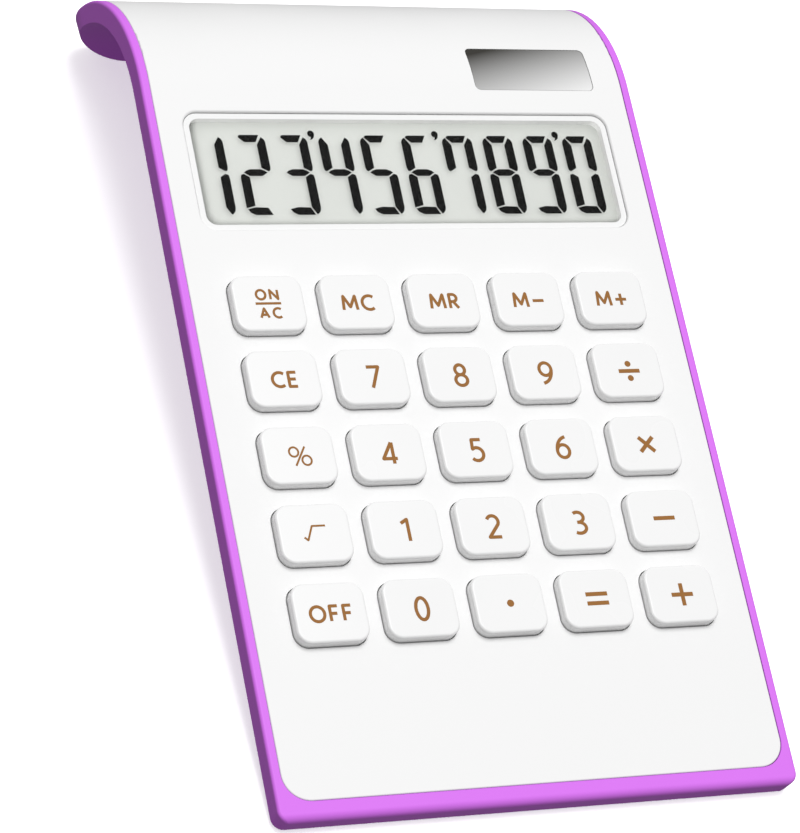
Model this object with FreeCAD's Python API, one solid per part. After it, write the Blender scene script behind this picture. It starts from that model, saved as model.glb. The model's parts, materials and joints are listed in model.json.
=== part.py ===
import FreeCAD, Part
import math
import os

from FreeCAD import Placement, Rotation, Vector

# Desk calculator with a thin sloping panel that curls over into a rear leg. Millimetres.
#
# Everything is drawn in the panel's own frame: X to the right, Y up the slope from the front
# edge of the white cover, Z straight out of the panel's face. A depth is counted from that face
# into the case. on_table then tilts the whole case on to the table, with +Z up.

# ---- driving dimensions of the case ----
overall_width = 100.0
panel_tilt = 10.7            # degrees between the panel and the table
case_thickness = 4.1         # side band of the sloping panel and of the leg
front_rim = 3.5              # rear cover ahead of the white cover
side_rim = 1.75              # rear cover beside the white cover
leg_rim = 3.2                # rear cover below the white cover on the leg
crest_y = 138.5              # where the flat panel turns into the crest
crest_radius = 30.2          # outside radius of the crest and the leg
front_gap = 0.6              # front lower edge above the table
front_corner_radius = 2.2
leg_corner_radius = 13.7
front_edge_radius = 1.4
outer_edge_radius = 0.6
cover_wall = 1.8
cover_corner_radius = 5.0
cover_edge_radius = 0.25
seam = 0.12                  # gap round the white cover
slip = 0.05                  # gap between faces that lie on each other inside the case
hole_play = 0.15             # hole past the screw, door or block that goes in it, all round

# ---- belly under the panel, which holds the works ----
belly_half_width = 46.5
belly_front_y = 2.0
belly_rear_y = 132.0
belly_slope_end_y = 137.5
belly_depth = 9.6
belly_wall = 1.4
belly_clearance = 0.8        # wedge under the front, above the table
belly_corner_radius = 4.0

# ---- keys ----
key_pitch_x = 17.13
key_pitch_y = 14.88
keypad_centre_y = 62.7
key_width = 13.7
key_length = 11.1
key_corner_radius = 2.6
key_rise = 2.0               # key top above the panel
key_edge_radius = 0.5
key_gap = 0.2                # key to opening, all round
flange_margin = 0.75         # flange past the key's sides
flange_top = 1.9
flange_bottom = 2.7
key_wall = 1.2
plunger_radius = 2.2
plunger_bottom = 3.08
rib_thickness = 0.8
rib_bottom = 1.0

# ---- board and rubber keypad ----
board_top = 5.7
board_thickness = 1.2
board_half_width = 44.0
board_front_y = 20.6
board_rear_y = 111.3
board_corner_radius = 2.0
web_thickness = 0.8
web_half_width = 43.5
web_margin_y = 6.8
web_corner_radius = 3.0
dome_top = 3.1
dome_crown = 1.2             # solid top of a dome
dome_foot_radius = 4.2
dome_top_radius = 2.9
dome_skirt = 0.5
pill_radius = 1.8
pill_thickness = 0.4

# ---- chips on the board's underside ----
processor_spot = (20.0, 60.0)
processor_radius = 6.0
processor_height = 1.0
processor_edge_radius = 0.8
capacitor_size = (1.25, 2.0, 0.9)
capacitor_spots = [(x, 72.0) for x in (-24.0, -18.0, -12.0)]
resistor_size = (0.8, 1.6, 0.5)
resistor_spots = [(x, 80.0) for x in (-24.0, -20.0, -16.0, -12.0)]

# ---- display ----
display_y = 120.4
window_size = (86.4, 24.2)
window_radius = 3.0
window_recess = 0.5
window_thickness = 0.8
view_size = (84.6, 22.4)
view_radius = 2.4
recess_edge_radius = 0.45
glass_size = (86.4, 25.6)
polariser_size = (86.2, 23.0)
polariser_thickness = 0.2
glass_thickness = 0.7
glass_corner_radius = 0.5
reflector_size = (86.2, 22.8)
contact_ledge = 2.6          # front glass past the rear glass, towards the keys
stack_top = 1.9
layer_gap = 0.02             # glue, or the liquid crystal, between two layers
holder_size = (88.0, 27.2)
holder_corner_radius = 0.8
holder_opening = (80.0, 17.0)
holder_opening_shift = 1.5   # away from the keys, clear of the connector's slot
holder_opening_radius = 1.0
holder_floor = 0.7
connector_size = (80.0, 1.6)
connector_corner_radius = 0.2
connector_y = 108.8

# ---- solar window and cell, centred on the crest's first stretch ----
solar_x = 29.8
solar_angle = 7.7            # degrees past the start of the crest
solar_window_size = (24.8, 9.6)
solar_window_radius = 1.0
solar_window_top = 0.08
solar_window_bottom = 1.2
solar_ledge = 0.6
solar_cell_size = (25.6, 9.2)
solar_cell_top = 2.25
solar_cell_thickness = 0.8
solar_cell_radius = 0.3
solar_cut = 5.0              # reach of the solar window's cutters, in and out of the crest
wire_channel = (6.0, 8.0)    # width and length of the wires' groove under the cell
wire_channel_bottom = 3.3
wire_channel_start_y = 132.5

# ---- battery ----
cell_x = -20.0
cell_y = 122.5
cell_radius = 5.8
cell_top = 4.75
cell_thickness = 3.05
cell_cap_radius = 4.2
cell_cap_height = 0.3
cell_edge_radius = 0.3
ring_radius = 6.2
ring_wall = 1.0
ring_set_back = 1.0          # ring's top edge below the cell's top
door_size = (14.0, 18.4)
door_y = 121.0
door_thickness = 1.0
door_corner_radius = 2.0
door_pad_radius = 4.0
door_screw_y = 113.9
door_boss_radius = 2.1
door_boss_gap = 0.2          # boss below the board
contact_thickness = 0.3
contact_gap = 0.02           # between the cell's can and the strip beside it
contact_slot = (2.0, 5.0, 3.4)
negative_strip_width = 4.0
negative_strip_front_y = 113.6
negative_strip_rear_y = 125.5
negative_strip_radius = 0.8
positive_strip_size = (4.4, 2.7)
positive_strip_lift = 0.3    # above the belly's floor

# ---- fasteners, wires, feet ----
case_screw_spots = [(x, y) for y in (16.0, 102.3) for x in (-38.0, 0.0, 38.0)]
board_screw_spots = [(x, y) for y in (22.7, 102.3) for x in (-19.0, 19.0)]
case_boss_radius = 2.3
case_boss_bottom = 4.9
case_tube_radius = 2.9
case_seat_depth = 5.9
case_screw = {"head": 1.85, "head_height": 1.1, "shank": 1.0, "length": 3.6}
board_screw = {"head": 1.6, "head_height": 0.8, "shank": 0.8, "length": 3.2}
door_screw = {"head": 1.6, "head_height": 0.7, "shank": 0.8, "length": 2.4}
screw_edge_radius = 0.3
cross_span = 1.1             # cross recess, as shares of the head's radius
cross_slot = 0.25
cross_depth = 0.6            # and of its height
board_boss_radius = 1.8
boss_roof = 0.4              # solid above a screw's hole in the white cover
wire_radius = 0.35
wire_bend = 0.8
wire_landing = 1.2           # wires end this far on to the board
solar_wire_spread = 1.2      # each wire to the cell's middle
solar_wire_depth = 2.75
solar_wire_start_y = 137.4
solar_wire_drop_y = (135.0, 134.3)
battery_wire_start_y = 115.5
battery_wire_side = 2.6      # wire's run beside the contact strip
foot_size = (14.0, 7.0)
foot_centre = (33.0, 7.6)
foot_recess = 0.5
foot_corner_radius = 2.2

KEY_ROWS = [
    ["key_on_ac", "key_mc", "key_mr", "key_m_minus", "key_m_plus"],
    ["key_ce", "key_7", "key_8", "key_9", "key_divide"],
    ["key_percent", "key_4", "key_5", "key_6", "key_multiply"],
    ["key_root", "key_1", "key_2", "key_3", "key_minus"],
    ["key_off", "key_0", "key_point", "key_equals", "key_plus"],
]

# ---- worked-out places ----
tilt = math.radians(panel_tilt)
white_half_width = overall_width / 2 - side_rim
board_bottom = board_top + board_thickness
big = 300.0                  # longer than anything in the case
past = 1.0                   # how far a cutter runs past the face it opens
touch = 0.01                 # nearer than this counts as touching
crest_turn = 125.0           # degrees that a sheet follows the crest, down past the table


def tilted(y, z):
    """Where a point of the panel's frame goes when the panel is tilted, before it is moved."""
    return y * math.cos(tilt) - z * math.sin(tilt), y * math.sin(tilt) + z * math.cos(tilt)


table_z = tilted(-front_rim, -case_thickness)[1] - front_gap
crest_centre_y = tilted(crest_y, -crest_radius)[0]
nose_y = tilted(front_edge_radius - front_rim, -front_edge_radius)[0]
front_y = nose_y - front_edge_radius
rear_y = crest_centre_y + crest_radius
middle_y = (front_y + rear_y) / 2
on_table = Placement(Vector(0, -middle_y, -table_z), Rotation(Vector(1, 0, 0), panel_tilt))


def wedge_depth(y):
    """Depth of the belly's sloping front underside, which is parallel to the table."""
    return -(table_z + belly_clearance - y * math.sin(tilt)) / math.cos(tilt)


def upright_edges(shape):
    return [edge for edge in shape.Edges if abs(edge.tangentAt(edge.FirstParameter).z) > 0.99]


def rounded_block(centre, size, radius, top, bottom):
    """A block with rounded corners in plan, between two depths."""
    width, length = size
    corner = Vector(centre[0] - width / 2, centre[1] - length / 2, -bottom)
    block = Part.makeBox(width, length, bottom - top, corner)
    return block.makeFillet(radius, upright_edges(block))


def lowest_edges(shape):
    return [edge for edge in shape.Edges if edge.BoundBox.ZMax < shape.BoundBox.ZMin + touch]


def disc(x, y, radius, top, bottom):
    return Part.makeCylinder(radius, bottom - top, Vector(x, y, -bottom))


def prism(outline, half_width):
    """A side outline of (y, z) points, as wide as the stated half width each way."""
    points = [Vector(-half_width, y, z) for y, z in outline]
    face = Part.Face(Part.makePolygon(points + points[:1]))
    return face.extrude(Vector(2 * half_width, 0, 0))


def crest_point(x, depth, angle):
    radius = crest_radius - depth
    return Vector(x, crest_y + radius * math.sin(angle), radius * math.cos(angle) - crest_radius)


def panel_sheet(top, bottom, half_width, start_y, nose=0.0):
    """The panel and its crest between two depths. It runs well below the table at the leg.
    nose rounds the upper front edge."""
    end = math.radians(crest_turn)
    left = -half_width
    outer = [crest_point(left, top, end * part) for part in (0, 0.5, 1)]
    inner = [crest_point(left, bottom, end * part) for part in (1, 0.5, 0)]
    low_front = Vector(left, start_y, -bottom)
    edges = [Part.LineSegment(inner[2], low_front)]
    if nose:
        lean = nose * (1 - math.cos(math.pi / 4))
        arc_points = [
            Vector(left, start_y, -top - nose),
            Vector(left, start_y + lean, -top - lean),
            Vector(left, start_y + nose, -top),
        ]
        edges.append(Part.LineSegment(low_front, arc_points[0]))
        edges.append(Part.Arc(*arc_points))
        edges.append(Part.LineSegment(arc_points[2], outer[0]))
    else:
        high_front = Vector(left, start_y, -top)
        edges.append(Part.LineSegment(low_front, high_front))
        edges.append(Part.LineSegment(high_front, outer[0]))
    edges.append(Part.Arc(*outer))
    edges.append(Part.LineSegment(outer[2], inner[0]))
    edges.append(Part.Arc(*inner))
    face = Part.Face(Part.Wire([edge.toShape() for edge in edges]))
    return face.extrude(Vector(2 * half_width, 0, 0))


def beyond_leg(half_width, low, radius):
    """Everything behind the crest and outside the leg's rounded outline, as seen from behind."""
    outline = Part.makeBox(2 * half_width, big, big, Vector(-half_width, 0, low))
    lower_corners = [
        edge for edge in outline.Edges
        if abs(edge.tangentAt(edge.FirstParameter).y) > 0.99 and edge.CenterOfMass.z < low + past
    ]
    outline = outline.makeFillet(radius, lower_corners)
    behind = Part.makeBox(2 * big, big, 2 * big, Vector(-big, crest_centre_y - middle_y, -big))
    outline.translate(Vector(0, crest_centre_y - middle_y, 0))
    outside = behind.cut(outline)
    outside.Placement = on_table.inverse().multiply(outside.Placement)
    return outside


def curled_cover(top, bottom, half_width, front, corner_radius, leg_low, leg_radius, nose=0.0):
    """A sheet with rounded front corners, which follows the crest and ends round the leg."""
    sheet = panel_sheet(top, bottom, half_width, front, nose)
    plan_centre = (0, front + big / 2)
    plan = rounded_block(plan_centre, (2 * half_width, big), corner_radius, -big, big)
    return sheet.common(plan).cut(beyond_leg(half_width, leg_low, leg_radius))


def on_outer_face(point):
    """Whether a point is on the panel's face or on the crest's outside."""
    if point.y < crest_y:
        return abs(point.z) < touch
    reach = math.hypot(point.y - crest_y, point.z + crest_radius)
    return abs(reach - crest_radius) < touch


def outer_rim_edges(shape):
    """The edges round the outside of a curled cover, without the smooth seams across it."""
    rim = []
    for edge in shape.Edges:
        middle = edge.valueAt((edge.FirstParameter + edge.LastParameter) / 2)
        at_seam = middle.y < -touch or abs(middle.y - crest_y) < touch
        smooth_seam = at_seam and abs(middle.x) < 1
        ends = [vertex.Point for vertex in edge.Vertexes]
        if not smooth_seam and all(on_outer_face(point) for point in [middle] + ends):
            rim.append(edge)
    return rim


def belly(inset, top):
    """The belly's block, drawn in by a wall thickness on every side."""
    depth = belly_depth - inset
    front = belly_front_y + inset
    rise = inset / math.cos(tilt)
    flat_start = (depth + rise - wedge_depth(0)) / math.tan(tilt)
    outline = [
        (front, -top),
        (front, -wedge_depth(front) + rise),
        (flat_start, -depth),
        (belly_rear_y - inset / 2, -depth),
        (belly_slope_end_y - inset, -case_thickness),
        (belly_slope_end_y - inset, -top),
    ]
    half_width = belly_half_width - inset
    centre = (0, (front + belly_slope_end_y - inset) / 2)
    size = (2 * half_width, belly_slope_end_y - inset - front)
    plan = rounded_block(centre, size, belly_corner_radius - inset, -big, big)
    return prism(outline, half_width).common(plan)


def solar_sheet(top, bottom):
    """A curved sheet between two depths, as wide as the white cover, where the solar window is."""
    return panel_sheet(top, bottom, white_half_width, crest_y - solar_window_size[1])


def crest_block(size, radius, top, bottom):
    """A rounded block square to the crest at the solar window. Depths are from the crest there."""
    block = rounded_block((0, 0), size, radius, top, bottom)
    turn = Rotation(Vector(1, 0, 0), -solar_angle)
    block.Placement = Placement(crest_point(solar_x, 0, math.radians(solar_angle)), turn)
    return block


def grown(size, margin):
    return size[0] + 2 * margin, size[1] + 2 * margin


def key_centres():
    """Each key's name with its centre, from the top left key to the bottom right one."""
    spots = []
    for row, names in enumerate(KEY_ROWS):
        for column, name in enumerate(names):
            spots.append((name, (column - 2) * key_pitch_x, keypad_centre_y + (2 - row) * key_pitch_y))
    return spots


def lies_round_display(edge):
    """Whether an edge is part of the display recess's rim, on the panel's face."""
    box = edge.BoundBox
    on_face = abs(box.ZMin) < touch and abs(box.ZMax) < touch
    reach = window_size[1] / 2 + touch
    return on_face and box.YMin > display_y - reach and box.YMax < display_y + reach


def front_cover():
    """White cover with the key openings, the display's recess and the solar opening."""
    cover = curled_cover(
        0, cover_wall, white_half_width, 0, cover_corner_radius,
        leg_rim, leg_corner_radius - side_rim,
    )
    cover = cover.makeFillet(cover_edge_radius, outer_rim_edges(cover))
    for _, x, y in key_centres():
        size = grown((key_width, key_length), key_gap)
        opening = rounded_block((x, y), size, key_corner_radius + key_gap, -past, cover_wall + past)
        cover = cover.cut(opening)
    seat = window_recess + window_thickness
    cover = cover.cut(rounded_block((0, display_y), window_size, window_radius, -past, seat))
    recess_rim = [edge for edge in cover.Edges if lies_round_display(edge)]
    cover = cover.makeFillet(recess_edge_radius, recess_rim)
    cover = cover.cut(rounded_block((0, display_y), view_size, view_radius, -past, cover_wall + past))
    curved_seat = solar_sheet(-past, solar_window_bottom + slip)
    seat_outline = grown(solar_window_size, seam)
    cover = cover.cut(curved_seat.common(
        crest_block(seat_outline, solar_window_radius + seam, -solar_cut, solar_cut)
    ))
    light_opening = grown(solar_window_size, -solar_ledge)
    cover = cover.cut(crest_block(light_opening, solar_window_radius, -solar_cut, solar_cut))
    hole_top = cover_wall + boss_roof
    for x, y in case_screw_spots:
        cover = cover.fuse(disc(x, y, case_boss_radius, cover_wall, case_boss_bottom))
        cover = cover.cut(disc(x, y, case_screw["shank"] + slip, hole_top, case_boss_bottom + past))
    for x, y in board_screw_spots:
        cover = cover.fuse(disc(x, y, board_boss_radius, cover_wall, board_top))
        cover = cover.cut(disc(x, y, board_screw["shank"] + slip, hole_top, board_top + past))
    return cover


def rear_cover():
    """Coloured tray: rim, side band, curled leg, and the belly that holds the works."""
    cover = curled_cover(
        0, case_thickness, overall_width / 2, -front_rim, front_corner_radius,
        0, leg_corner_radius, front_edge_radius,
    )
    cover = cover.makeFillet(outer_edge_radius, outer_rim_edges(cover))
    cover = cover.fuse(belly(0, case_thickness - past))
    pocket = curled_cover(
        -past, cover_wall + slip, white_half_width + seam, -seam, cover_corner_radius + seam,
        leg_rim - seam, leg_corner_radius - side_rim + seam,
    )
    cover = cover.cut(pocket)
    cover = cover.cut(belly(belly_wall, 0))
    cell_bottom = solar_cell_top + solar_cell_thickness
    cell_pocket = grown(solar_cell_size, seam)
    cover = cover.cut(crest_block(cell_pocket, solar_cell_radius + seam, -past, cell_bottom + slip))
    channel_corner = Vector(solar_x - wire_channel[0] / 2, wire_channel_start_y, -wire_channel_bottom)
    cover = cover.cut(Part.makeBox(*wire_channel, wire_channel_bottom, channel_corner))
    for x, y in case_screw_spots:
        tube_bottom = min(wedge_depth(y), belly_depth) - belly_wall / 2
        head_hole = case_screw["head"] + hole_play
        shank_hole = case_screw["shank"] + hole_play
        cover = cover.fuse(disc(x, y, case_tube_radius, case_boss_bottom + slip, tube_bottom))
        cover = cover.cut(disc(x, y, head_hole, case_seat_depth, belly_depth + past))
        cover = cover.cut(disc(x, y, shank_hole, case_boss_bottom - past, belly_depth))
    head_bottom = board_bottom + board_screw["head_height"] + 2 * slip
    for x, y in board_screw_spots:
        cover = cover.cut(disc(x, y, board_screw["head"] + 2 * hole_play, board_bottom, head_bottom))
    cover = add_battery_bay(cover)
    return cover.cut(foot_pads(seam))


def add_battery_bay(cover):
    """The ring round the button cell, the door's recess and its screw boss."""
    floor = belly_depth - belly_wall
    recess_top = belly_depth - door_thickness
    ring = disc(cell_x, cell_y, ring_radius + ring_wall, cell_top + ring_set_back, floor + slip)
    boss = disc(cell_x, door_screw_y, door_boss_radius, board_bottom + door_boss_gap, floor + slip)
    cover = cover.fuse(ring).fuse(boss)
    cover = cover.cut(disc(cell_x, cell_y, ring_radius, cell_top - past, belly_depth))
    cover = cover.cut(rounded_block(
        (cell_x, door_y), grown(door_size, hole_play), door_corner_radius + hole_play,
        recess_top, belly_depth + past,
    ))
    slot_width, slot_length, _ = contact_slot
    slot_corner = Vector(cell_x + ring_radius - slot_width / 4, cell_y - slot_length / 2, -floor)
    cover = cover.cut(Part.makeBox(*contact_slot, slot_corner))
    return cover.cut(disc(cell_x, door_screw_y, door_screw["shank"] + slip, board_bottom, belly_depth))


def key(x, y):
    """A hollow key cap with a flange that holds it under the cover, and a plunger."""
    size = (key_width, key_length)
    cap = rounded_block((x, y), size, key_corner_radius, -key_rise, flange_bottom)
    crown = [edge for edge in cap.Edges if edge.BoundBox.ZMin > key_rise - touch]
    cap = cap.makeFillet(key_edge_radius, crown)
    flange = rounded_block(
        (x, y), grown(size, flange_margin), key_corner_radius + flange_margin, flange_top, flange_bottom
    )
    roof = key_wall - key_rise
    inside = rounded_block(
        (x, y), grown(size, -key_wall), key_corner_radius - key_wall, roof, flange_bottom + past
    )
    shell = cap.fuse(flange).cut(inside)
    plunger = disc(x, y, plunger_radius, roof, plunger_bottom)
    rib_span = (key_width - key_wall, key_length - key_wall)
    rib_height = rib_bottom - roof
    along = Part.makeBox(
        rib_span[0], rib_thickness, rib_height,
        Vector(x - rib_span[0] / 2, y - rib_thickness / 2, -rib_bottom),
    )
    across = Part.makeBox(
        rib_thickness, rib_span[1], rib_height,
        Vector(x - rib_thickness / 2, y - rib_span[1] / 2, -rib_bottom),
    )
    return shell.fuse([plunger, along, across]).removeSplitter()


def keypad_membrane():
    """Silicone rubber sheet with a hollow dome under each key."""
    half_length = 2 * key_pitch_y + web_margin_y
    size = (2 * web_half_width, 2 * half_length)
    web_top = board_top - web_thickness
    sheet = rounded_block((0, keypad_centre_y), size, web_corner_radius, web_top, board_top)
    domes = []
    hollows = []
    for _, x, y in key_centres():
        rise = board_top - dome_top
        base = Vector(x, y, -board_top)
        domes.append(Part.makeCone(dome_foot_radius, dome_top_radius, rise, base))
        hollow_rise = rise - dome_crown
        shrink = (dome_foot_radius - dome_top_radius) * hollow_rise / rise
        foot = dome_foot_radius - dome_skirt
        hollows.append(Part.makeCone(foot, foot - shrink, hollow_rise, base))
    return sheet.fuse(domes).cut(Part.makeCompound(hollows))


def contact_pills():
    """Conductive discs inside the domes, one over each pair of contacts on the board."""
    top = dome_top + dome_crown
    return Part.makeCompound(
        [disc(x, y, pill_radius, top, top + pill_thickness) for _, x, y in key_centres()]
    )


def circuit_board():
    length = board_rear_y - board_front_y
    centre = (0, (board_rear_y + board_front_y) / 2)
    size = (2 * board_half_width, length)
    board = rounded_block(centre, size, board_corner_radius, board_top, board_bottom)
    holes = [(spot, case_tube_radius + 2 * hole_play) for spot in case_screw_spots]
    holes += [(spot, board_screw["shank"] + hole_play) for spot in board_screw_spots]
    for (x, y), radius in holes:
        board = board.cut(disc(x, y, radius, board_top - past, board_bottom + past))
    return board


def processor_blob():
    """Epoxy dome over the processor, on the board's underside."""
    blob = disc(*processor_spot, processor_radius, board_bottom, board_bottom + processor_height)
    return blob.makeFillet(processor_edge_radius, lowest_edges(blob))


def chips(spots, size):
    """Small blocks soldered under the board."""
    width, length, height = size
    blocks = []
    for x, y in spots:
        corner = Vector(x - width / 2, y - length / 2, -board_bottom - height)
        blocks.append(Part.makeBox(width, length, height, corner))
    return Part.makeCompound(blocks)


def screw(x, y, seat, sizes):
    """A cross-recess screw driven from below, with its head under a seat."""
    head_bottom = seat + sizes["head_height"]
    head = disc(x, y, sizes["head"], seat, head_bottom)
    head = head.makeFillet(screw_edge_radius, lowest_edges(head))
    body = head.fuse(disc(x, y, sizes["shank"], seat - sizes["length"], seat))
    span = sizes["head"] * cross_span
    slot = sizes["head"] * cross_slot
    for width, length in ((span, slot), (slot, span)):
        corner = Vector(x - width / 2, y - length / 2, -head_bottom)
        body = body.cut(Part.makeBox(width, length, sizes["head_height"] * cross_depth, corner))
    return body


def case_screws():
    return Part.makeCompound([screw(x, y, case_seat_depth, case_screw) for x, y in case_screw_spots])


def board_screws():
    return Part.makeCompound([screw(x, y, board_bottom, board_screw) for x, y in board_screw_spots])


def battery_door_screw():
    return screw(cell_x, door_screw_y, belly_depth - door_screw["head_height"], door_screw)


def display_window():
    """Clear lens on the ledge of the display's recess."""
    return rounded_block(
        (0, display_y), grown(window_size, -slip), window_radius - slip,
        window_recess, window_recess + window_thickness,
    )


def display_layers():
    """The display's four layers by name, from the front polariser to the reflector behind."""
    polariser_bottom = stack_top + polariser_thickness
    front_glass_top = polariser_bottom + layer_gap
    front_glass_bottom = front_glass_top + glass_thickness
    rear_glass_top = front_glass_bottom + layer_gap
    rear_glass_bottom = rear_glass_top + glass_thickness
    reflector_top = rear_glass_bottom + layer_gap
    front = (0, display_y)
    back = (0, display_y + contact_ledge / 2)
    back_size = (glass_size[0], glass_size[1] - contact_ledge)
    radius = glass_corner_radius
    return {
        "lcd_front_polariser": rounded_block(front, polariser_size, radius, stack_top, polariser_bottom),
        "lcd_front_glass": rounded_block(front, glass_size, radius, front_glass_top, front_glass_bottom),
        "lcd_rear_glass": rounded_block(back, back_size, radius, rear_glass_top, rear_glass_bottom),
        "lcd_reflector": rounded_block(back, reflector_size, radius, reflector_top, stack_bottom()),
    }


def stack_bottom():
    return stack_top + 2 * polariser_thickness + 2 * glass_thickness + 3 * layer_gap


def lcd_holder():
    """Frame that holds the display glass against the cover, with a slot for the connector."""
    centre = (0, display_y)
    floor = stack_bottom() + slip
    bottom = floor + holder_floor
    holder = rounded_block(centre, holder_size, holder_corner_radius, cover_wall + slip, bottom)
    glass_room = grown(glass_size, 2 * slip)
    pocket = rounded_block(centre, glass_room, glass_corner_radius, cover_wall - past, floor)
    opening_centre = (0, display_y + holder_opening_shift)
    opening = rounded_block(
        opening_centre, holder_opening, holder_opening_radius, cover_wall, bottom + past
    )
    slot = rounded_block(
        (0, connector_y), grown(connector_size, hole_play), connector_corner_radius + hole_play,
        cover_wall, bottom + past,
    )
    return holder.cut(pocket).cut(opening).cut(slot)


def lcd_connector():
    """Striped elastomer block that joins the glass's contacts to the board."""
    top = stack_top + polariser_thickness + layer_gap + glass_thickness
    return rounded_block((0, connector_y), connector_size, connector_corner_radius, top, board_top)


def solar_window():
    """Smoked window, curved with the crest."""
    sheet = solar_sheet(solar_window_top, solar_window_bottom)
    return sheet.common(crest_block(solar_window_size, solar_window_radius, -solar_cut, solar_cut))


def solar_cell():
    bottom = solar_cell_top + solar_cell_thickness
    return crest_block(solar_cell_size, solar_cell_radius, solar_cell_top, bottom)


def wire(points):
    """A round wire along straight runs with a tangent bend at each inner point."""
    edges = []
    start = points[0]
    for before, corner, after in zip(points, points[1:], points[2:]):
        back = (before - corner).normalize()
        ahead = (after - corner).normalize()
        half_turn = (math.pi - back.getAngle(ahead)) / 2
        reach = wire_bend * math.tan(half_turn)
        into = corner + back * reach
        out = corner + ahead * reach
        inward = (back + ahead).normalize()
        middle = corner + inward * (wire_bend / math.cos(half_turn) - wire_bend)
        edges.append(Part.LineSegment(start, into).toShape())
        edges.append(Part.Arc(into, middle, out).toShape())
        start = out
    edges.append(Part.LineSegment(start, points[-1]).toShape())
    circle = Part.Circle(points[0], points[1] - points[0], wire_radius)
    section = Part.Wire([circle.toShape()])
    return Part.Wire(edges).makePipeShell([section], True, True)


def solar_wires():
    """Two wires from under the solar cell, down behind the display and forward to the board."""
    run_z = -(board_top - wire_radius - slip)
    drop_start_y, drop_end_y = solar_wire_drop_y
    wires = []
    for x in (solar_x - solar_wire_spread, solar_x + solar_wire_spread):
        wires.append(wire([
            Vector(x, solar_wire_start_y, -solar_wire_depth),
            Vector(x, drop_start_y, -solar_wire_depth),
            Vector(x, drop_end_y, run_z),
            Vector(x, board_rear_y - wire_landing, run_z),
        ]))
    return Part.makeCompound(wires)


def battery_cell():
    """Button cell, its smaller negative cap towards the panel."""
    can_top = cell_top + cell_cap_height
    can = disc(cell_x, cell_y, cell_radius, can_top, cell_top + cell_thickness)
    can = can.makeFillet(cell_edge_radius, lowest_edges(can))
    return can.fuse(disc(cell_x, cell_y, cell_cap_radius, cell_top, can_top))


def battery_contact_negative():
    """Flat strip over the cell's cap, reaching towards the board."""
    centre = (cell_x, (negative_strip_front_y + negative_strip_rear_y) / 2)
    size = (negative_strip_width, negative_strip_rear_y - negative_strip_front_y)
    top = cell_top - contact_thickness
    return rounded_block(centre, size, negative_strip_radius, top, cell_top)


def battery_contact_positive():
    """Upright strip that touches the side of the cell's can."""
    length, height = positive_strip_size
    bottom = belly_depth - belly_wall - positive_strip_lift
    corner = Vector(cell_x + cell_radius + contact_gap, cell_y - length / 2, -bottom)
    return Part.makeBox(contact_thickness, length, height, corner)


def battery_wires():
    """From the two contacts to the board: one over the board's top, one under it."""
    over_z = -(board_top - wire_radius - slip)
    under_z = -(board_bottom + wire_radius + slip)
    end_y = board_rear_y - wire_landing
    contact_x = cell_x + cell_radius + contact_thickness + contact_gap
    run_x = contact_x + battery_wire_side
    negative = wire([Vector(cell_x, battery_wire_start_y, over_z), Vector(cell_x, end_y, over_z)])
    positive = wire([
        Vector(contact_x + slip, cell_y, under_z),
        Vector(run_x, cell_y, under_z),
        Vector(run_x, end_y, under_z),
    ])
    return Part.makeCompound([negative, positive])


def battery_door():
    """Flush door in the belly's floor. A boss on it keeps the cell up against its contact."""
    recess_top = belly_depth - door_thickness
    door_top = recess_top + slip
    door = rounded_block((cell_x, door_y), door_size, door_corner_radius, door_top, belly_depth)
    pad_top = cell_top + cell_thickness + slip
    door = door.fuse(disc(cell_x, cell_y, door_pad_radius, pad_top, door_top))
    seat = belly_depth - door_screw["head_height"]
    head_hole = disc(cell_x, door_screw_y, door_screw["head"] + hole_play, seat, belly_depth + past)
    shank_hole = disc(cell_x, door_screw_y, door_screw["shank"] + hole_play, recess_top - past, seat)
    return door.cut(head_hole).cut(shank_hole)


def foot_pads(margin):
    """The two front foot pads, flat on the table. margin makes the recess round them."""
    spots = []
    for side in (-1, 1):
        y, _ = tilted(foot_centre[1], -wedge_depth(foot_centre[1]))
        height = belly_clearance + foot_recess
        centre = (side * foot_centre[0], y - middle_y)
        pad = rounded_block(centre, grown(foot_size, margin), foot_corner_radius, -height, 0)
        pad.Placement = on_table.inverse().multiply(pad.Placement)
        spots.append(pad)
    return Part.makeCompound(spots)


def write_node(name, shape):
    placed = shape.copy()
    placed.Placement = on_table.multiply(placed.Placement)
    placed.exportStep("parts/" + name + ".step")


os.makedirs("parts", exist_ok=True)

nodes = {
    "front_cover": front_cover(),
    "rear_cover": rear_cover(),
    "display_window": display_window(),
    **display_layers(),
    "lcd_holder": lcd_holder(),
    "lcd_connector": lcd_connector(),
    "solar_window": solar_window(),
    "solar_cell": solar_cell(),
    "solar_wires": solar_wires(),
    "keypad_membrane": keypad_membrane(),
    "contact_pills": contact_pills(),
    "circuit_board": circuit_board(),
    "processor_blob": processor_blob(),
    "board_capacitors": chips(capacitor_spots, capacitor_size),
    "board_resistors": chips(resistor_spots, resistor_size),
    "board_screws": board_screws(),
    "battery_cell": battery_cell(),
    "battery_contact_negative": battery_contact_negative(),
    "battery_contact_positive": battery_contact_positive(),
    "battery_wires": battery_wires(),
    "battery_door": battery_door(),
    "battery_door_screw": battery_door_screw(),
    "case_screws": case_screws(),
    "front_feet": foot_pads(0),
}
for key_name, key_x, key_y in key_centres():
    nodes[key_name] = key(key_x, key_y)
for node_name, node_shape in nodes.items():
    write_node(node_name, node_shape)
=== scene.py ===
import json
import math

import bmesh
import bpy
from mathutils import Matrix, Vector


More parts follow.
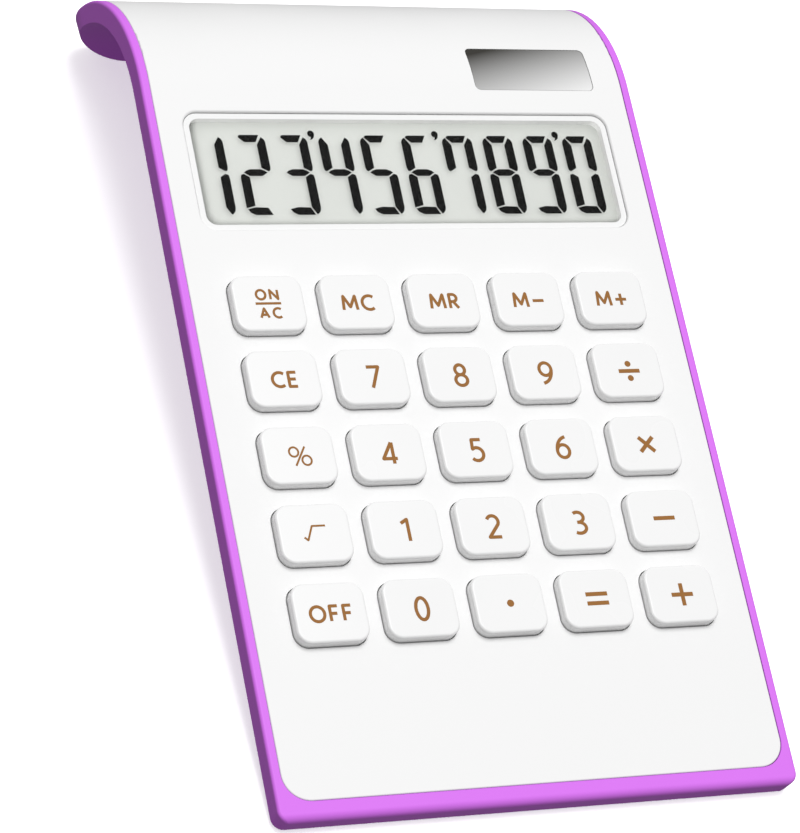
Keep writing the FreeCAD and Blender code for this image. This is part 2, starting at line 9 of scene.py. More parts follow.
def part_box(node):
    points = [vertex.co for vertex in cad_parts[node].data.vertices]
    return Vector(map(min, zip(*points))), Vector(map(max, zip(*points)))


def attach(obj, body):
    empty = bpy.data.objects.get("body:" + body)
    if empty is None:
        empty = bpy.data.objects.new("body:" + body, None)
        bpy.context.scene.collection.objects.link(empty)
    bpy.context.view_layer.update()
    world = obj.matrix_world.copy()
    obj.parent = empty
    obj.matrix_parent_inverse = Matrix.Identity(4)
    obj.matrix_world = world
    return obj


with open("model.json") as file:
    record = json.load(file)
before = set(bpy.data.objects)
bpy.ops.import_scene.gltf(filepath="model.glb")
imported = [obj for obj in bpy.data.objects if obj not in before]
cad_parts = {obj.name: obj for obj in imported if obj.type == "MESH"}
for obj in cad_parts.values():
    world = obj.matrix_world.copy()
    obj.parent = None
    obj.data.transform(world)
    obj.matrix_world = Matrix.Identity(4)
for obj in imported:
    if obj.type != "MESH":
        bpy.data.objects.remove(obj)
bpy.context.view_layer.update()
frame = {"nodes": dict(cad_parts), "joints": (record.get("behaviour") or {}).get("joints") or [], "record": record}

MM = 0.001
ACROSS = Vector((1, 0, 0))


# ---- the sloping panel's own directions, from the keys' press direction ----

OUT = -Vector(frame["joints"][0]["axis"]).normalized()
UP_SLOPE = OUT.cross(ACROSS).normalized()
TO_PANEL = Matrix((ACROSS, UP_SLOPE, OUT))
FROM_PANEL = TO_PANEL.transposed()


def panel_box(node):
    """A CAD node's lowest and highest corners along the panel's directions."""
    points = [TO_PANEL @ vertex.co for vertex in frame["nodes"][node].data.vertices]
    low = Vector([min(p[axis] for p in points) for axis in range(3)])
    high = Vector([max(p[axis] for p in points) for axis in range(3)])
    return low, high


def panel_middle(node):
    low, high = panel_box(node)
    return (low + high) / 2


# ---- materials ----

NOISE_RANGE = (0.3, 0.7)     # where nearly all of a noise texture's values lie
BROAD_SCALE = 35.0
SMEAR_SCALE = 60.0
GRAIN_DETAIL = 2.0
GRAIN_STRENGTH = 0.35
EDGE_BLEND = 0.15
EDGE_GLOSS = 10              # how many times glossier a clear sheet is when seen edge on
SMEAR_SHADE = 0.995
SMEAR_ROUGHNESS = 2.5
REFLECTION_FREE_SHARE = 0.1             # the part of the smoked sheet's painted reflection that stays at its darkest shade


def new_material(name):
    material = bpy.data.materials.new(name)
    material.use_nodes = True
    return material


def parts_of(material):
    """A material's nodes, its links and its main shader."""
    nodes = material.node_tree.nodes
    return nodes, material.node_tree.links, nodes["Principled BSDF"]


def object_position(nodes, links, stretch=(1, 1, 1)):
    """Coordinates in metres on the object, stretched along its axes."""
    position = nodes.new("ShaderNodeTexCoord")
    mapping = nodes.new("ShaderNodeMapping")
    mapping.inputs["Scale"].default_value = stretch
    links.new(position.outputs["Object"], mapping.inputs["Vector"])
    return mapping.outputs["Vector"]


def noise(nodes, links, position, scale, detail=3.0):
    texture = nodes.new("ShaderNodeTexNoise")
    texture.inputs["Scale"].default_value = scale
    texture.inputs["Detail"].default_value = detail
    links.new(position, texture.inputs["Vector"])
    return texture.outputs["Fac"]


def spread(nodes, links, value, low, high):
    """Turns a noise value into a number between two limits."""
    mapped = nodes.new("ShaderNodeMapRange")
    mapped.inputs["From Min"].default_value = NOISE_RANGE[0]
    mapped.inputs["From Max"].default_value = NOISE_RANGE[1]
    mapped.inputs["To Min"].default_value = low
    mapped.inputs["To Max"].default_value = high
    links.new(value, mapped.inputs["Value"])
    return mapped.outputs["Result"]


def two_tones(nodes, links, value, first, second):
    """A colour that wanders between two tones."""
    mix = nodes.new("ShaderNodeMix")
    mix.data_type = "RGBA"
    mix.inputs["A"].default_value = (*first, 1)
    mix.inputs["B"].default_value = (*second, 1)
    links.new(value, mix.inputs["Factor"])
    return mix.outputs["Result"]


def bump(nodes, links, value, strength, depth):
    node = nodes.new("ShaderNodeBump")
    node.inputs["Strength"].default_value = strength
    node.inputs["Distance"].default_value = depth
    links.new(value, node.inputs["Height"])
    return node.outputs["Normal"]


def moulded(
    name, colour, roughness, grain=2500.0, depth=0.02, tone_change=0.03, stretch=(1, 1, 1), sheen=0.3,
):
    """Moulded or pressed material: broad tone change, uneven gloss and a fine surface grain.
    roughness holds its lowest and highest value, grain is the noise's scale, depth is the
    grain's in millimetres, and sheen is the strength of the reflection."""
    material = new_material(name)
    nodes, links, shader = parts_of(material)
    shader.inputs["Specular IOR Level"].default_value = sheen
    position = object_position(nodes, links, stretch)
    broad = noise(nodes, links, position, BROAD_SCALE)
    fine = noise(nodes, links, position, grain, GRAIN_DETAIL)
    darker = tuple(channel * (1 - tone_change) for channel in colour)
    lighter = tuple(min(1.0, channel * (1 + tone_change)) for channel in colour)
    links.new(two_tones(nodes, links, broad, darker, lighter), shader.inputs["Base Color"])
    links.new(spread(nodes, links, broad, *roughness), shader.inputs["Roughness"])
    links.new(bump(nodes, links, fine, GRAIN_STRENGTH, depth * MM), shader.inputs["Normal"])
    return material


def painted_reflection_sheet(name, dark, light, start, end, way, roughness):
    """A glossy smoked sheet with a painted reflection: its colour changes along a way, from one point's level to
    another's, from its own dark tone to a lighter painted reflection tone.
    """
    material = moulded(name, dark, roughness, grain=900.0, depth=0.004)
    nodes, links, shader = parts_of(material)
    along = nodes.new("ShaderNodeVectorMath")
    along.operation = "DOT_PRODUCT"
    along.inputs[1].default_value = way
    links.new(object_position(nodes, links), along.inputs[0])
    share = nodes.new("ShaderNodeMapRange")
    share.inputs["From Min"].default_value = start.lerp(end, REFLECTION_FREE_SHARE).dot(way)
    share.inputs["From Max"].default_value = end.dot(way)
    links.new(along.outputs["Value"], share.inputs["Value"])
    # painted reflection: the colour runs from the sheet's own dark tone towards a light painted reflection tone
    painted_reflection = two_tones(nodes, links, share.outputs["Result"], dark, light)
    links.new(painted_reflection, shader.inputs["Base Color"])
    return material


def metal(name, colour, roughness, grain=1200.0, stretch=(1, 1, 1)):
    material = moulded(name, colour, roughness, grain, depth=0.01, tone_change=0.06, stretch=stretch)
    _, _, shader = parts_of(material)
    shader.inputs["Metallic"].default_value = 1.0
    return material


def see_through(name, tint, roughness, gloss):
    """Clear sheet: what is behind shows through a tint, under a faint uneven reflection."""
    material = new_material(name)
    nodes, links, shader = parts_of(material)
    smear = noise(nodes, links, object_position(nodes, links), SMEAR_SCALE)
    clear = nodes.new("ShaderNodeBsdfTransparent")
    darker = tuple(channel * SMEAR_SHADE for channel in tint)
    links.new(two_tones(nodes, links, smear, darker, tint), clear.inputs["Color"])
    edge_on = nodes.new("ShaderNodeLayerWeight")
    edge_on.inputs["Blend"].default_value = EDGE_BLEND
    share = nodes.new("ShaderNodeMapRange")
    share.inputs["To Min"].default_value = gloss
    share.inputs["To Max"].default_value = gloss * EDGE_GLOSS
    links.new(edge_on.outputs["Facing"], share.inputs["Value"])
    mix = nodes.new("ShaderNodeMixShader")
    glossy = nodes.new("ShaderNodeBsdfGlossy")
    uneven = spread(nodes, links, smear, roughness, roughness * SMEAR_ROUGHNESS)
    links.new(uneven, glossy.inputs["Roughness"])
    links.new(share.outputs["Result"], mix.inputs["Fac"])
    links.new(clear.outputs["BSDF"], mix.inputs[1])
    links.new(glossy.outputs["BSDF"], mix.inputs[2])
    links.new(mix.outputs["Shader"], nodes["Material Output"].inputs["Surface"])
    nodes.remove(shader)
    return material


def paint(node, material):
    slots = frame["nodes"][node].data.materials
    slots.clear()
    slots.append(material)


# ---- mesh pieces laid on the panel ----

SAME_POINT = 1e-6
GENTLE_TURN = 0.5            # in radians: a stroke's outline is mitred up to here, and rounded past it
SHARPEST_MITRE = 0.2         # the least cosine that a mitre is worked out with


def arc(centre, radii, start, end, steps=14):
    """Points along an ellipse's arc, between two angles in degrees."""
    turn = [math.radians(start + (end - start) * step / steps) for step in range(steps + 1)]
    return [(centre[0] + radii[0] * math.cos(a), centre[1] + radii[1] * math.sin(a)) for a in turn]


def prism(mesh, outline, place, low, high):
    """Adds a flat prism to a bmesh. place turns (x, y, height) into the row frame."""
    bottom = [mesh.verts.new(place(x, y, low)) for x, y in outline]
    top = [mesh.verts.new(place(x, y, high)) for x, y in outline]
    mesh.faces.new(top)
    mesh.faces.new(bottom[::-1])
    count = len(outline)
    for index in range(count):
        after = (index + 1) % count
        mesh.faces.new((bottom[index], bottom[after], top[after], top[index]))


def panel_place(middle):
    """Places millimetres on the panel, counted from a point given along its directions."""
    return lambda x, y, height: FROM_PANEL @ (middle + Vector((x, y, height)) * MM)


def new_piece(name, mesh, material, body):
    data = bpy.data.meshes.new(name)
    bmesh.ops.recalc_face_normals(mesh, faces=mesh.faces)
    mesh.to_mesh(data)
    mesh.free()
    data.materials.append(material)
    piece = bpy.data.objects.new(name, data)
    bpy.context.scene.collection.objects.link(piece)
    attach(piece, body)
    return piece


def stroke_outline(path, half):
    """The outline of a pen stroke of even width along a path, rounded outside each corner."""
    points = [Vector(point) for point in path]
    closed = (points[0] - points[-1]).length < SAME_POINT
    left, right = [], []
    ways = [(b - a).normalized() for a, b in zip(points, points[1:])]
    for index, point in enumerate(points):
        before = ways[index - 1] if index else (ways[-1] if closed else ways[0])
        after = ways[index] if index < len(ways) else (ways[0] if closed else ways[-1])
        turn = before.angle_signed(after, 0.0)
        side_before = Vector((-before.y, before.x)) * half
        side_after = Vector((-after.y, after.x)) * half
        middle = (side_before + side_after).normalized()
        mitre = middle * half / max(SHARPEST_MITRE, math.cos(turn / 2))
        if abs(turn) < GENTLE_TURN:
            left.append(point + mitre)
            right.append(point - mitre)
        elif turn > 0:
            left += [point + side_before, point + middle * half, point + side_after]
            right.append(point - mitre)
        else:
            left.append(point + mitre)
            right += [point - side_before, point - middle * half, point - side_after]
    return left, right, closed


def add_stroke(mesh, path, half, place, low, high):
    left, right, closed = stroke_outline(path, half)
    if closed:
        outer = [(p.x, p.y) for p in left[:-1]]
        inner = [(p.x, p.y) for p in right[:-1]]
        ring(mesh, outer, inner, place, low, high)
    else:
        outline = [(p.x, p.y) for p in left] + [(p.x, p.y) for p in reversed(right)]
        prism(mesh, outline, place, low, high)


def ring(mesh, outer, inner, place, low, high):
    """Adds a flat ring between two outlines with the same number of points."""
    loops = []
    for outline, height in ((outer, high), (inner, high), (inner, low), (outer, low)):
        loops.append([mesh.verts.new(place(x, y, height)) for x, y in outline])
    count = len(outer)
    for first, second in zip(loops, loops[1:] + loops[:1]):
        for index in range(count):
            after = (index + 1) % count
            mesh.faces.new((first[index], first[after], second[after], second[index]))


# ---- key legends: centre lines of each sign, in a box one unit high ----

GLYPHS = {
    "0": (0.56, [arc((0.28, 0.5), (0.28, 0.5), 90, 450, 28)]),
    "1": (0.34, [[(0.0, 0.83), (0.3, 1.0), (0.3, 0.0)]]),
    "2": (0.56, [arc((0.26, 0.72), (0.27, 0.28), 155, -28) + [(0.0, 0.0), (0.57, 0.0)]]),
    "3": (0.54, [
        arc((0.2, 0.76), (0.28, 0.24), 130, -90) + [(0.14, 0.52)],
        arc((0.2, 0.26), (0.33, 0.26), 90, -125),
    ]),
    "4": (0.66, [[(0.66, 0.24), (0.0, 0.24), (0.46, 1.0)], [(0.48, 1.0), (0.48, 0.0)]]),
    "5": (0.54, [[(0.5, 1.0), (0.08, 1.0), (0.06, 0.55)] + arc((0.23, 0.31), (0.31, 0.31), 105, -140)]),
    "6": (0.58, [
        arc((0.29, 0.31), (0.29, 0.31), 90, 450, 24), arc((0.56, 0.31), (0.56, 0.69), 178, 98)
    ]),
    "7": (0.56, [[(0.0, 1.0), (0.56, 1.0), (0.16, 0.0)]]),
    "8": (0.56, [
        arc((0.28, 0.76), (0.23, 0.24), 90, 450, 24), arc((0.28, 0.26), (0.28, 0.26), 90, 450, 24)
    ]),
    "9": (0.58, [
        arc((0.29, 0.69), (0.29, 0.31), 90, 450, 24), arc((0.02, 0.69), (0.56, 0.69), -2, -82)
    ]),
    "A": (0.84, [[(0.0, 0.0), (0.42, 1.0), (0.84, 0.0)], [(0.18, 0.32), (0.66, 0.32)]]),
    "C": (0.74, [arc((0.5, 0.5), (0.5, 0.5), 52, 308, 20)]),
    "E": (0.54, [[(0.54, 1.0), (0.0, 1.0), (0.0, 0.0), (0.54, 0.0)], [(0.08, 0.52), (0.48, 0.52)]]),
    "F": (0.52, [[(0.52, 1.0), (0.0, 1.0), (0.0, 0.0)], [(0.08, 0.5), (0.46, 0.5)]]),
    "M": (0.98, [[(0.0, 0.0), (0.08, 1.0), (0.49, 0.2), (0.9, 1.0), (0.98, 0.0)]]),
    "N": (0.78, [[(0.0, 0.0), (0.0, 1.0), (0.78, 0.0), (0.78, 1.0)]]),
    "O": (0.96, [arc((0.48, 0.5), (0.48, 0.5), 90, 450, 28)]),
    "R": (0.56, [
        [(0.0, 0.0), (0.0, 1.0)] + arc((0.24, 0.74), (0.27, 0.26), 90, -90) + [(0.08, 0.48)],
        [(0.28, 0.42), (0.58, 0.0)],
    ]),
    "minus": (0.8, [[(0.0, 0.45), (0.8, 0.45)]]),
    "plus": (0.8, [[(0.0, 0.45), (0.8, 0.45)], [(0.4, 0.03), (0.4, 0.87)]]),
    "percent": (1.14, [
        arc((0.25, 0.74), (0.25, 0.26), 90, 450, 20), arc((0.89, 0.26), (0.25, 0.26), 90, 450, 20),
        [(0.26, -0.02), (0.88, 1.02)],
    ]),
    "root": (1.5, [[(0.0, 0.24), (0.22, 0.04), (0.62, 0.98), (1.5, 0.98)]]),
}

DIGIT_HEIGHT = 4.75
LETTER_HEIGHT = 3.35
SMALL_HEIGHT = 2.3
DIGIT_STROKE = 0.64
LETTER_STROKE = 0.58
SMALL_STROKE = 0.46
THIN_STROKE = 0.36
SIGN_STROKE = 0.78
SIGN_SPAN = 4.3
LETTER_GAP = 0.5
LETTERS_SHIFT = -0.1
PERCENT_HEIGHT = 3.85
ROOT_HEIGHT = 3.2
ROOT_SHIFT = (-0.1, 0.2)
CROSS_REACH = 1.45
DOT_RISE = 1.45
DOT_RADIUS = 0.6
POINT_RADIUS = 0.68
POINT_RISE = 0.15
INK_BOTTOM = -0.01           # a hair inside the key, so that no gap shows
INK_LIFT = 0.035
INK_STEP = 0.002             # keeps the faces of crossing strokes apart
LEGEND_SHIFT = Vector((0.1, -0.25, 0)) * MM

LETTER_LEGENDS = {
    "key_mc": ["M", "C"], "key_mr": ["M", "R"], "key_m_minus": ["M", "minus"],
    "key_m_plus": ["M", "plus"], "key_ce": ["C", "E"], "key_off": ["O", "F", "F"],
}

LEVEL_BARS = {               # how high each sign's level bars are
    "key_divide": [0.0], "key_minus": [0.2], "key_equals": [1.05, -0.7], "key_plus": [0.1],
}
FIRST_KEY_LINE = ((-2.75, 0.15), (2.15, 0.15))
FIRST_KEY_WORDS = (          # the letters, their gap, and their shift across and up
    (["O", "N"], 0.45, -0.3, 1.9), (["A", "C"], 0.5, -0.2, -1.75),
)


def write_signs(mesh, signs, height, stroke, gap, place, x_shift=0.0, y_shift=0.0):
    """Writes signs in a row, centred on the key. height is the whole sign's, ink included."""
    rise = height - stroke
    widths = [GLYPHS[sign][0] * rise + stroke for sign in signs]
    x = x_shift - (sum(widths) + gap * (len(signs) - 1)) / 2
    for sign, width in zip(signs, widths):
        for number, path in enumerate(GLYPHS[sign][1]):
            points = [
                (x + stroke / 2 + px * rise, y_shift - rise / 2 + py * rise) for px, py in path
            ]
            add_stroke(mesh, points, stroke / 2, place, INK_BOTTOM, INK_LIFT + INK_STEP * number)
        x += width + gap


def add_dot(mesh, x, y, radius, place):
    prism(mesh, arc((x, y), (radius, radius), 0, 345, 23), place, INK_BOTTOM, INK_LIFT)


def add_bar(mesh, start, end, stroke, place, lift=0.0):
    add_stroke(mesh, [start, end], stroke / 2, place, INK_BOTTOM, INK_LIFT + lift)


def write_legend(mesh, key, place):
    half = SIGN_SPAN / 2
    for height in LEVEL_BARS.get(key, ()):
        add_bar(mesh, (-half, height), (half, height), SIGN_STROKE, place)
    if key in LETTER_LEGENDS:
        letters = LETTER_LEGENDS[key]
        write_signs(mesh, letters, LETTER_HEIGHT, LETTER_STROKE, LETTER_GAP, place, LETTERS_SHIFT)
    elif key == "key_on_ac":
        add_bar(mesh, *FIRST_KEY_LINE, SMALL_STROKE, place)
        for letters, gap, across, up in FIRST_KEY_WORDS:
            write_signs(mesh, letters, SMALL_HEIGHT, SMALL_STROKE, gap, place, across, up)
    elif key == "key_divide":
        add_dot(mesh, 0, DOT_RISE, DOT_RADIUS, place)
        add_dot(mesh, 0, -DOT_RISE, DOT_RADIUS, place)
    elif key == "key_multiply":
        reach = CROSS_REACH
        add_bar(mesh, (-reach, -reach), (reach, reach), SIGN_STROKE, place)
        add_bar(mesh, (-reach, reach), (reach, -reach), SIGN_STROKE, place, INK_STEP)
    elif key == "key_plus":
        middle = LEVEL_BARS[key][0]
        add_bar(mesh, (0, middle - half), (0, middle + half), SIGN_STROKE, place, INK_STEP)
    elif key == "key_point":
        add_dot(mesh, 0, POINT_RISE, POINT_RADIUS, place)
    elif key == "key_percent":
        write_signs(mesh, ["percent"], PERCENT_HEIGHT, THIN_STROKE, 0, place)
    elif key == "key_root":
        write_signs(mesh, ["root"], ROOT_HEIGHT, THIN_STROKE, 0, place, *ROOT_SHIFT)
    elif key not in LEVEL_BARS:
        write_signs(mesh, [key[-1]], DIGIT_HEIGHT, DIGIT_STROKE, 0, place)


def make_legend(key, material):
    """The printed sign on a key's top, slightly nearer the key's front and right sides."""
    low, high = panel_box(key)
    middle = Vector(((low.x + high.x) / 2, (low.y + high.y) / 2, high.z))
    mesh = bmesh.new()
    write_legend(mesh, key, panel_place(middle + LEGEND_SHIFT))
    new_piece("legend_" + key[4:], mesh, material, key)


# ---- display digits ----

SHOWN = "1234567890"
MARKED = "369"               # digits that a thousands mark follows
DIGIT_PITCH = 8.4
DIGITS_SHIFT = (-0.3, 0.55)
SEGMENT_WIDTH = 6.25
SEGMENT_TALL = 16.6
SEGMENT_THICKNESS = 0.008
BAR = 1.8
GAP = 0.26
MARK_SHIFT = (0.95, 0.3)     # from a digit's upper right corner
MARK_RADIUS = 0.68
SEGMENTS = {
    "0": "abcdef", "1": "bc", "2": "abged", "3": "abgcd", "4": "fgbc", "5": "afgcd",
    "6": "afgedc", "7": "fabc", "8": "abcdefg", "9": "abcdfg",
}


def segment_outline(letter):
    """One segment's outline, from the digit's middle. The mitred ends leave narrow slits."""
    side = SEGMENT_WIDTH / 2
    top = SEGMENT_TALL / 2
    inner = side - BAR
    half_bar = BAR / 2
    flat = 1.5
    mid = 0.45
    upper_left = [
        (-side, mid + half_bar + GAP), (-side + 0.15, mid + 0.25 + GAP), (-side + 0.5, mid + GAP),
        (-inner, mid + 0.75 + GAP), (-inner, top - flat - 0.55), (-side + 0.75, top - 0.45),
        (-side + 0.25, top - 0.85), (-side, top - 1.4),
    ]
    return {
        "a": [
            (-side + 0.95, top - 0.5), (-side + 1.15, top - 0.1), (-side + 1.5, top), (side - 1.15, top),
            (inner - 0.15, top - flat), (-inner + 0.25, top - flat),
        ],
        "b": [(-x, y) if y < top - 1.5 else (-x - 0.05, y) for x, y in upper_left],
        "c": [
            (inner, -top + flat + 0.1), (inner, mid - 0.7 - GAP), (side - 0.75, mid - GAP),
            (side - 0.15, mid - 0.2 - GAP), (side, mid - half_bar - GAP), (side, -top + 1.5),
            (side - 0.2, -top + 0.75), (side - 0.7, -top + 0.2), (side - 0.95, -top + 0.15),
        ],
        "d": [
            (-side + 0.2, -top + 1.2), (-side + 0.65, -top + 0.5), (-side + 1.6, -top), (side - 1.25, -top),
            (inner - 0.2, -top + flat), (-inner, -top + flat + 0.1),
        ],
        "e": [
            (-side, mid - half_bar - GAP), (-side + 0.15, mid - 0.2 - GAP), (-side + 0.75, mid - GAP),
            (-inner, mid - 0.7 - GAP), (-inner, -top + flat + 0.15 + GAP),
            (-side, -top + flat - 0.35 + GAP),
        ],
        "f": upper_left,
        "g": [
            (-side + 0.8, mid), (-side + 1.3, mid + 0.4), (-side + 2.1, mid + 0.7), (side - 2.1, mid + 0.7),
            (side - 1.3, mid + 0.4), (side - 0.8, mid), (side - 1.9, mid - 0.7), (-side + 1.9, mid - 0.7),
        ],
    }[letter]


def mark_outline(x, y):
    """The raised thousands mark: a round head with a short curved tail."""
    return arc((x, y), (MARK_RADIUS, MARK_RADIUS), -10, 215, 16) + [
        (x - 0.35, y - 0.6), (x - 0.1, y - 0.65), (x - 0.15, y - 1.0), (x - 0.4, y - 1.3),
        (x + 0.1, y - 1.15), (x + 0.5, y - 0.75),
    ]


def make_digits(material):
    """The dark segments, in the gap between the display's two glass plates."""
    window = panel_middle("display_window")
    front_glass_low, _ = panel_box("lcd_front_glass")
    _, rear_glass_high = panel_box("lcd_rear_glass")
    crystal_height = (front_glass_low.z + rear_glass_high.z) / 2
    place = panel_place(Vector((window.x, window.y, crystal_height)))
    mesh = bmesh.new()
    shift_x, shift_y = DIGITS_SHIFT
    for index, digit in enumerate(SHOWN):
        centre = shift_x + (index - (len(SHOWN) - 1) / 2) * DIGIT_PITCH
        outlines = [
            [(centre + x, shift_y + y) for x, y in segment_outline(letter)] for letter in SEGMENTS[digit]
        ]
        if digit in MARKED:
            mark_x = centre + SEGMENT_WIDTH / 2 + MARK_SHIFT[0]
            outlines.append(mark_outline(mark_x, shift_y + SEGMENT_TALL / 2 + MARK_SHIFT[1]))
        for outline in outlines:
            prism(mesh, outline, place, -SEGMENT_THICKNESS, SEGMENT_THICKNESS)
    digits = new_piece("display_digits", mesh, material, "case")
    digits.visible_shadow = False


# ---- the border and the gasket round the display ----

BORDER = 1.15
BORDER_PLAY = 0.05
BORDER_RADII = (2.85, 2.0)   # outside and inside corners
BORDER_DEPTHS = (-0.06, -0.02)
GASKET_MARGIN = 0.97         # from the window's edge to the gasket's outside
GASKET_RADIUS = 2.2
GASKET_PLAY = 0.01


def rounded_outline(half_width, half_length, radius):
    corners = ((1, 1, 0), (-1, 1, 90), (-1, -1, 180), (1, -1, 270))
    outline = []
    for side_x, side_y, start in corners:
        centre = (side_x * (half_width - radius), side_y * (half_length - radius))
        outline += arc(centre, (radius, radius), start, start + 90, 8)
    return outline


def window_outline(margin, radius):
    """The window's outline, drawn in by a margin in millimetres."""
    low, high = panel_box("display_window")
    half_width = (high.x - low.x) / 2 / MM
    half_length = (high.y - low.y) / 2 / MM
    return rounded_outline(half_width - margin, half_length - margin, radius)


def make_border(material):
    """The white border printed round the window, just under its face."""
    window = panel_middle("display_window")
    _, window_high = panel_box("display_window")
    place = panel_place(Vector((window.x, window.y, window_high.z)))
    mesh = bmesh.new()
    outer = window_outline(BORDER_PLAY, BORDER_RADII[0])
    inner = window_outline(BORDER, BORDER_RADII[1])
    ring(mesh, outer, inner, place, *BORDER_DEPTHS)
    new_piece("display_border", mesh, material, "case")


def make_gasket(material):
    """The pale gasket that lines the opening, from the printed border down to the display."""
    window = panel_middle("display_window")
    _, window_high = panel_box("display_window")
    _, display_high = panel_box("lcd_front_polariser")
    border_height = (window_high.z - display_high.z) / MM + BORDER_DEPTHS[0]
    place = panel_place(Vector((window.x, window.y, display_high.z)))
    mesh = bmesh.new()
    outer = window_outline(GASKET_MARGIN, GASKET_RADIUS)
    inner = window_outline(BORDER, BORDER_RADII[1])
    ring(mesh, outer, inner, place, GASKET_PLAY, border_height - GASKET_PLAY)
    new_piece("display_gasket", mesh, material, "case")


# ---- camera: found by its aim on the panel, its direction and its distance ----

AIM = Vector((-12.58, -15.18, 18.35)) * MM
AZIMUTH = -37.78
ELEVATION = 48.76
ROLL = -28.53
DISTANCE = 654.8 * MM
FOCAL_LENGTH = 157.9
NEAREST = 0.01


def add_camera():
    azimuth, elevation, roll = (math.radians(angle) for angle in (AZIMUTH, ELEVATION, ROLL))
    level = math.cos(elevation)
    forward = Vector((-math.sin(azimuth) * level, math.cos(azimuth) * level, -math.sin(elevation)))
    right = forward.cross(Vector((0, 0, 1))).normalized()
    up = right.cross(forward)
    turn = Matrix.Rotation(roll, 3, forward)
    right, up = turn @ right, turn @ up
    camera = bpy.data.objects.new("camera", bpy.data.cameras.new("camera"))
    camera.data.lens = FOCAL_LENGTH
    camera.data.clip_start = NEAREST
    camera.matrix_world = Matrix((right, up, -forward)).transposed().to_4x4()
    camera.location = AIM - forward * DISTANCE
    bpy.context.scene.collection.objects.link(camera)
    bpy.context.scene.camera = camera


# ---- studio ----

# Each lamp's place and width in metres, and its power in watts.
KEY_LIGHT = ((0.15, 0.35, 3.4), 1.7, 75.0)
DISPLAY_LIGHT = ((-0.754, -0.816, 0.932), 0.4, 16.0)
FLOOR_LIGHT = ((0, 0, 3.0), 1.5, 55.0)
LIT_NODES = ("lcd_front_polariser", "lcd_front_glass", "lcd_rear_glass", "lcd_reflector")
LIT_PIECES = ("display_digits", "display_gasket")
SKY_HEIGHTS = (0.1, 0.9)     # where the sky starts and stops growing brighter: 0 is level, 1 overhead
SKY_STRENGTHS = (0.17, 0.62)
FLOOR_REACH = 3.0
CLEAR_LAYERS = 32            # clear surfaces that a ray may pass, enough for the display's stack


def add_soft_light(name, place, size, power):
    """A square softbox that faces the calculator."""
    light = bpy.data.lights.new(name, "AREA")
    light.size = size
    light.energy = power
    lamp = bpy.data.objects.new(name, light)
    lamp.location = place
    lamp.rotation_euler = (-Vector(place)).to_track_quat("-Z", "Y").to_euler()
    lamp.visible_camera = False
    bpy.context.scene.collection.objects.link(lamp)
    return lamp


def share_light(lamp, things, lit):
    """Says whether a light falls only on some things, or on all but them."""
    group = bpy.data.collections.new(lamp.name + "_things")
    for thing in things:
        group.objects.link(thing)
    lamp.light_linking.receiver_collection = group
    for row in group.collection_objects:
        row.light_linking.link_state = "INCLUDE" if lit else "EXCLUDE"


def add_sky():
    """Plain white light from all round, brighter overhead."""
    world = bpy.data.worlds.new("studio")
    world.use_nodes = True
    nodes, links = world.node_tree.nodes, world.node_tree.links
    backdrop = nodes["Background"]
    backdrop.inputs["Color"].default_value = (1, 1, 1, 1)
    way = nodes.new("ShaderNodeTexCoord")
    split = nodes.new("ShaderNodeSeparateXYZ")
    strength = nodes.new("ShaderNodeMapRange")
    strength.inputs["From Min"].default_value = SKY_HEIGHTS[0]
    strength.inputs["From Max"].default_value = SKY_HEIGHTS[1]
    strength.inputs["To Min"].default_value = SKY_STRENGTHS[0]
    strength.inputs["To Max"].default_value = SKY_STRENGTHS[1]
    links.new(way.outputs["Generated"], split.inputs["Vector"])
    links.new(split.outputs["Z"], strength.inputs["Value"])
    links.new(strength.outputs["Result"], backdrop.inputs["Strength"])
    bpy.context.scene.world = world


def add_floor():
    """A plain pale floor that the camera sees, and that reflects nothing onto the calculator."""
    corners = [(x * FLOOR_REACH, y * FLOOR_REACH, 0) for x, y in ((-1, -1), (1, -1), (1, 1), (-1, 1))]
    mesh = bpy.data.meshes.new("floor")
    mesh.from_pydata(corners, [], [(0, 1, 2, 3)])
    mesh.materials.append(moulded("floor_paper", (0.96, 0.96, 0.96), (0.8, 0.95), 400.0, 0.01, 0.005))
    floor = bpy.data.objects.new("floor", mesh)
    floor.visible_diffuse = False
    floor.visible_glossy = False
    bpy.context.scene.collection.objects.link(floor)
    return floor


def add_lights(floor):
    """One lamp for all but the display, one for the display alone and one for the floor alone."""
    display = [frame["nodes"][node] for node in LIT_NODES]
    display += [bpy.data.objects[name] for name in LIT_PIECES]
    share_light(add_soft_light("key_light", *KEY_LIGHT), display, lit=False)
    share_light(add_soft_light("display_light", *DISPLAY_LIGHT), display, lit=True)
    floor_light = add_soft_light("floor_light", *FLOOR_LIGHT)
    floor_light.data.use_shadow = False
    share_light(floor_light, [floor], lit=True)


# ---- the parts' materials ----

def make_smoked_with_painted_reflection():
    """The solar window's smoked sheet, with a painted reflection that lightens it from its back left corner
    towards the front.
    """
    low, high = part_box("solar_window")
    back_left = Vector((low.x, high.y, high.z))
    front_right = Vector((high.x, low.y, low.z))
    mostly_forward = Vector((0.27, -0.96, 0))
    # dark is the sheet's own smoked tone; light is the brightest tone of the painted reflection
    dark, light = (0.035, 0.033, 0.028), (0.86, 0.86, 0.86)
    return painted_reflection_sheet("smoked_window", dark, light, back_left, front_right, mostly_forward, (0.12, 0.2))


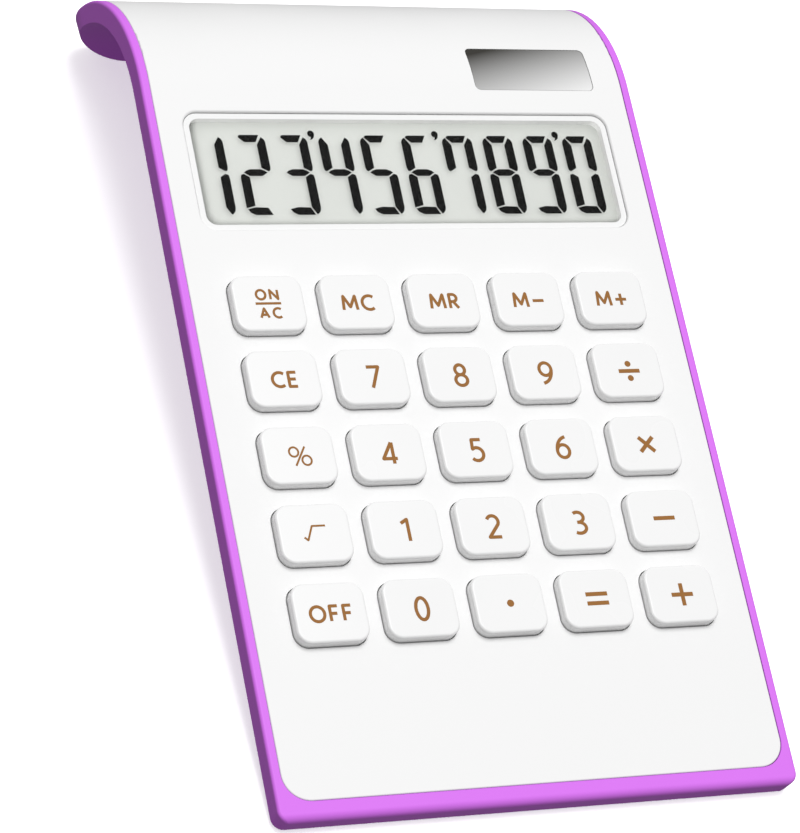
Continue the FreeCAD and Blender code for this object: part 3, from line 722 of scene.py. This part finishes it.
BY_SLOT = {
    "white_cover": moulded("white_cover", (0.87, 0.87, 0.87), (0.42, 0.55), 3000.0, 0.01, 0.008),
    "purple_case": moulded("purple_case", (0.7, 0.18, 0.88), (0.38, 0.5), 2600.0, 0.015, 0.03, sheen=0.2),
    "key_white": moulded("key_white", (0.88, 0.88, 0.88), (0.2, 0.3), 1500.0, 0.006, 0.006),
    "clear_window": see_through("clear_window", (0.996, 0.997, 0.996), 0.05, 0.004),
    # the solar window's sheet carries a painted reflection gradient
    "smoked_window": make_smoked_with_painted_reflection(),
    "lcd_film": see_through("lcd_film", (0.987, 0.988, 0.986), 0.25, 0.0008),
    "lcd_glass": see_through("lcd_glass", (0.995, 0.996, 0.995), 0.1, 0.0008),
    "lcd_reflector_film": moulded(
        "lcd_reflector_film", (0.865, 0.875, 0.85), (0.5, 0.7), 5000.0, 0.01, 0.02,
    ),
    "inner_frame": moulded("inner_frame", (0.8, 0.8, 0.79), (0.5, 0.6)),
    "elastomer": moulded(
        "elastomer", (0.72, 0.72, 0.7), (0.6, 0.75), 3000.0, 0.02, 0.06, (1, 0.05, 0.05),
    ),
    "solar_silicon": moulded("solar_silicon", (0.06, 0.035, 0.05), (0.2, 0.3), 800.0, 0.01, 0.2),
    "wire_insulation": moulded("wire_insulation", (0.5, 0.05, 0.04), (0.4, 0.5)),
    "silicone": moulded("silicone", (0.75, 0.75, 0.73), (0.55, 0.7), 2000.0, 0.02, 0.04),
    "carbon_rubber": moulded("carbon_rubber", (0.03, 0.03, 0.03), (0.6, 0.8)),
    "board_laminate": moulded("board_laminate", (0.42, 0.27, 0.1), (0.5, 0.65), 1800.0, 0.02, 0.12),
    "epoxy": moulded("epoxy", (0.02, 0.02, 0.02), (0.2, 0.35), 600.0, 0.03, 0.2),
    "ceramic_chip": moulded("ceramic_chip", (0.5, 0.38, 0.26), (0.4, 0.5), 3000.0, 0.01, 0.08),
    "resistor_chip": moulded("resistor_chip", (0.04, 0.04, 0.05), (0.35, 0.5), 3000.0, 0.01, 0.15),
    "screw_steel": metal("screw_steel", (0.7, 0.7, 0.69), (0.25, 0.4)),
    "cell_steel": metal("cell_steel", (0.74, 0.74, 0.72), (0.2, 0.35), 900.0, (1, 8, 1)),
    "contact_brass": metal("contact_brass", (0.82, 0.66, 0.38), (0.25, 0.4)),
    "foot_rubber": moulded("foot_rubber", (0.05, 0.05, 0.05), (0.7, 0.9), 1500.0, 0.05, 0.15),
}
legend_ink = moulded("legend_ink", (0.32, 0.14, 0.035), (0.45, 0.6), 2500.0, 0.01, 0.12, sheen=0.15)
segment_black = moulded(
    "segment_black", (0.006, 0.006, 0.006), (0.4, 0.5), 2500.0, 0.005, 0.1, sheen=0.05,
)


# ---- put together ----

for part in frame["record"]["subparts"]:
    paint(part["node"], BY_SLOT[part["material_slot"]])
for joint in frame["joints"]:
    make_legend(joint["child"], legend_ink)
make_digits(segment_black)
make_border(BY_SLOT["white_cover"])
make_gasket(BY_SLOT["inner_frame"])
add_camera()
add_sky()
add_lights(add_floor())
bpy.context.scene.cycles.transparent_max_bounces = CLEAR_LAYERS
bpy.context.scene.view_settings.view_transform = "Standard"
